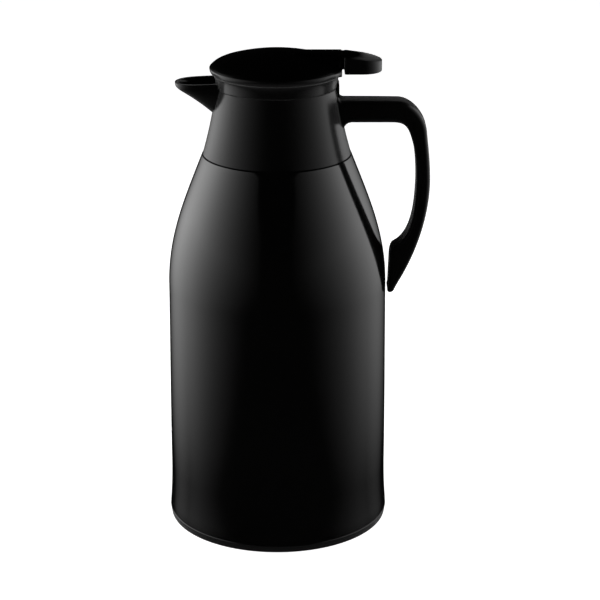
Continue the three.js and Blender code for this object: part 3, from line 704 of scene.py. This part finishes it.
def build_pad():
    """The thumb pad: flat underneath, rounded along both edges, crowned on top."""
    plan = pad_plan()
    edge = 0.5 * MM
    rings = [inset_ring(plan, distance, lambda x, y: PAD_LOW_Z) for distance in (9 * MM, 4 * MM, edge)]
    for k in range(1, 5):
        angle = math.radians(22.5 * k)
        inset, rise = edge * (1 - math.sin(angle)), edge * (1 - math.cos(angle))
        rings.append(inset_ring(plan, inset, lambda x, y: PAD_LOW_Z + rise))
    for k in range(5):
        angle = math.radians(22.5 * k)
        inset, drop = edge * (1 - math.cos(angle)), edge * (1 - math.sin(angle))
        rings.append(inset_ring(plan, inset, lambda x, y: pad_top(x, y) - drop))
    for distance in (1.5 * MM, 3 * MM, 5 * MM, 7 * MM, 9 * MM, 10.5 * MM):
        rings.append(inset_ring(plan, distance, pad_top))
    return loft("pad", rings)


def lever_strip():
    """The strip in the channel, which steps down to the fork's nose. Its corners are rounded."""
    start_x, end_x = 10 * MM, FLAT_X - 0.3 * MM
    nose_x, nose_z = -5 * MM, FORK_TOP_Z - 3 * MM
    edge = 0.3 * MM
    strip = prism("strip", [
        (start_x, FORK_TOP_Z), (start_x, LEVER_TOP_Z - edge), (start_x + edge, LEVER_TOP_Z),
        (end_x - edge, LEVER_TOP_Z), (end_x, LEVER_TOP_Z - edge), (end_x, LEVER_NECK_LOW),
        (27 * MM, LEVER_NECK_LOW - 0.4 * MM), (start_x + 4 * MM, nose_z), (nose_x, nose_z),
        (nose_x, nose_z + 1.6 * MM), (2 * MM, FORK_TOP_Z)], LEVER_HALF)
    bevel = strip.modifiers.new("edges", "BEVEL")
    bevel.width = edge
    bevel.segments = 3
    bevel.limit_method = "ANGLE"
    bevel.angle_limit = math.radians(60)
    bpy.context.view_layer.objects.active = strip
    bpy.ops.object.modifier_apply(modifier=bevel.name)
    return strip


def build_lever():
    """Thumb pad, neck over the gap, strip in the channel, and the fork round the valve stem."""
    lever = build_pad()
    neck_start_x, neck_end_x = FLAT_X - 3.3 * MM, FLAT_X + 5 * MM
    neck = block("neck", neck_start_x, neck_end_x, LEVER_HALF, LEVER_NECK_LOW, LEVER_NECK_TOP)
    combine(lever, neck, "UNION")
    combine(lever, lever_strip(), "UNION")
    fork = block("fork", -20 * MM, 4.4 * MM, 2.7 * MM, FORK_TOP_Z - 5 * MM, FORK_TOP_Z + 5 * MM)
    combine(lever, fork, "DIFFERENCE")
    shade(lever)
    finish_piece(lever, LEVER_BLACK, "lever", "satin_black", "thumb_lever")


# ---------------------------------------------------------------- inner pieces

def paint_cad_nodes():
    """Looks for the inner pieces that keep their CAD shape."""
    looks = {
        "base_cushion": DARK_RUBBER, "flask_outer_glass": GLASS, "flask_inner_glass": GLASS,
        "neck_gasket": SILICONE, "flask_spacer_1": FELT, "flask_spacer_2": FELT, "flask_spacer_3": FELT,
        "lid_seal": SILICONE, "stopper_body": INNER_BLACK, "stopper_gasket": SILICONE,
        "spring_bridge": INNER_BLACK, "pivot_pin": STEEL, "valve_stem": INNER_BLACK,
        "stem_nut": STEEL, "valve_plug": INNER_BLACK, "valve_seal": SILICONE,
    }
    for name, material in looks.items():
        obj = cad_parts[name]
        obj.data.materials.clear()
        obj.data.materials.append(material)
        shade(obj)


def build_spring():
    """A copy of the CAD spring coil, hung on the lid, with the CAD coil hidden."""
    coil = bpy.data.objects.new("spring_coil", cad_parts["valve_spring"].data.copy())
    bpy.context.collection.objects.link(coil)
    shade(coil)
    finish_piece(coil, STEEL, "lid", "steel", "valve_spring")
    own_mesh(coil)


# ---------------------------------------------------------------- studio

BOX_X = 0.5                              # distance of each soft box from the jug's axis
BOX_FRONT_Y, BOX_BACK_Y = -1.6, 1.2
BOX_LOW_Z, BOX_TOP_Z, BOX_BACK_TOP_Z = -0.2, 0.75, 0.25
BOX_CENTRE_Y = 0.13                      # where each soft box is brightest
BOX_FRONT_FADE, BOX_BACK_FADE = 0.36, 0.52   # lengths over which the light falls off from there
BOX_FALL = -1.5                          # how steeply it falls off
BOX_FADE_HEIGHT = 0.44                   # height over which it rises from nothing to full
BOX_SLANT = 0.25                         # how much lower it reaches for each metre backwards
LEFT_PEAK, RIGHT_PEAK = 3.0, 1.95
AMBIENT = 0.003                          # light from everywhere else
TABLE_GLOW = 0.15                        # light that comes up from below
GLOW_START, GLOW_FULL = -0.5, -0.8       # direction heights between which it sets in

LENS, SENSOR_WIDTH = 126.0, 36.0
CAMERA_PLACE = (0.01414, -1.241, 0.5753)
CAMERA_TILT = math.radians(70.73)        # 90 degrees would look level


def math_node(nodes, links, operation, a, b=0.0, clamp=False):
    """One step of the light's formula. Each input is a number or another node's output."""
    node = nodes.new("ShaderNodeMath")
    node.operation = operation
    node.use_clamp = clamp
    for socket, value in zip(node.inputs, (a, b)):
        if isinstance(value, (int, float)):
            socket.default_value = value
        else:
            links.new(value, socket)
    return node.outputs[0]


def box_glow(name, peak):
    """Light that is brightest just behind the jug and above the table. It fades forwards, backwards
    and downwards, and reaches lower towards the back."""
    material = bpy.data.materials.new(name)
    material.use_nodes = True
    nodes, links = material.node_tree.nodes, material.node_tree.links
    nodes.clear()

    def sum_of(*terms):
        return math_node(nodes, links, *terms)

    place = nodes.new("ShaderNodeNewGeometry")
    split = nodes.new("ShaderNodeSeparateXYZ")
    links.new(place.outputs["Position"], split.inputs["Vector"])
    along = sum_of("SUBTRACT", split.outputs["Y"], BOX_CENTRE_Y)
    behind = sum_of("MAXIMUM", along, 0.0)
    ahead = sum_of("MINIMUM", along, 0.0)
    back_share = sum_of("MULTIPLY", behind, 1 / BOX_BACK_FADE)
    offset = sum_of("ADD", back_share, sum_of("MULTIPLY", ahead, 1 / BOX_FRONT_FADE))
    fade = sum_of("POWER", sum_of("ADD", sum_of("MULTIPLY", offset, offset), 1.0), BOX_FALL)
    slant = sum_of("MULTIPLY", behind, BOX_SLANT)
    rise = sum_of("ADD", sum_of("SUBTRACT", split.outputs["Z"], BOX_LOW_Z), slant)
    height = sum_of("MULTIPLY", rise, 1 / BOX_FADE_HEIGHT, True)
    glow = sum_of("MULTIPLY", sum_of("MULTIPLY", height, fade), peak)
    lamp = nodes.new("ShaderNodeEmission")
    links.new(glow, lamp.inputs["Strength"])
    output = nodes.new("ShaderNodeOutputMaterial")
    links.new(lamp.outputs["Emission"], output.inputs["Surface"])
    return material


def soft_box(name, x, peak):
    """A glowing wall beside the jug that the camera doesn't see."""
    bm = bmesh.new()
    back_low_z = BOX_LOW_Z - BOX_SLANT * (BOX_BACK_Y - BOX_CENTRE_Y)
    corners = [(x, BOX_FRONT_Y, BOX_LOW_Z), (x, BOX_CENTRE_Y, BOX_LOW_Z), (x, BOX_BACK_Y, back_low_z),
               (x, BOX_BACK_Y, BOX_BACK_TOP_Z), (x, BOX_CENTRE_Y, BOX_TOP_Z), (x, BOX_FRONT_Y, BOX_TOP_Z)]
    bm.faces.new([bm.verts.new(corner) for corner in corners])
    wall = make_object(name, bm)
    wall.data.materials.append(box_glow(name, peak))
    wall.visible_camera = False


def studio_sky():
    """A white backdrop for the camera; for everything else a dark room with a little light from below."""
    world = bpy.data.worlds.new("studio")
    world.use_nodes = True
    nodes, links = world.node_tree.nodes, world.node_tree.links
    nodes.clear()
    place = nodes.new("ShaderNodeTexCoord")
    split = nodes.new("ShaderNodeSeparateXYZ")
    links.new(place.outputs["Generated"], split.inputs["Vector"])
    below = nodes.new("ShaderNodeMapRange")
    below.interpolation_type = "SMOOTHSTEP"
    below.inputs["From Min"].default_value = GLOW_START
    below.inputs["From Max"].default_value = GLOW_FULL
    below.inputs["To Min"].default_value = AMBIENT
    below.inputs["To Max"].default_value = TABLE_GLOW
    links.new(split.outputs["Z"], below.inputs["Value"])
    lamp = nodes.new("ShaderNodeBackground")
    links.new(below.outputs["Result"], lamp.inputs["Strength"])
    white = nodes.new("ShaderNodeBackground")
    white.inputs["Strength"].default_value = 1.0
    path = nodes.new("ShaderNodeLightPath")
    mix = nodes.new("ShaderNodeMixShader")
    links.new(path.outputs["Is Camera Ray"], mix.inputs["Fac"])
    links.new(lamp.outputs["Background"], mix.inputs[1])
    links.new(white.outputs["Background"], mix.inputs[2])
    output = nodes.new("ShaderNodeOutputWorld")
    links.new(mix.outputs["Shader"], output.inputs["Surface"])
    bpy.context.scene.world = world


def pale_floor():
    """A wide pale floor that only the camera and diffuse light see, and that casts no shadow."""
    bm = bmesh.new()
    bmesh.ops.create_grid(bm, x_segments=8, y_segments=8, size=6.0)
    floor = make_object("floor", bm)
    material, _, _, shader = new_material("pale_floor")
    shader.inputs["Base Color"].default_value = (0.8, 0.8, 0.8, 1)
    shader.inputs["Roughness"].default_value = 0.9
    shader.inputs["Specular IOR Level"].default_value = 0.0
    shader.inputs["Emission Color"].default_value = (1, 1, 1, 1)
    shader.inputs["Emission Strength"].default_value = 1.0
    floor.data.materials.append(material)
    floor.visible_glossy = False
    floor.visible_shadow = False


def camera():
    """A long lens in front of the jug, looking a little down."""
    data = bpy.data.cameras.new("camera")
    data.lens = LENS
    data.sensor_width = SENSOR_WIDTH
    obj = bpy.data.objects.new("camera", data)
    bpy.context.collection.objects.link(obj)
    obj.location = CAMERA_PLACE
    obj.rotation_euler = (CAMERA_TILT, 0, 0)
    bpy.context.scene.camera = obj


camera()
build_shell()
build_base()
build_foot_pad()
build_collar()
build_cover()
build_skirt()
build_lever()
paint_cad_nodes()
build_spring()
pale_floor()
soft_box("left_box", -BOX_X, LEFT_PEAK)
soft_box("right_box", BOX_X, RIGHT_PEAK)
studio_sky()
bpy.context.scene.view_settings.view_transform = "Standard"
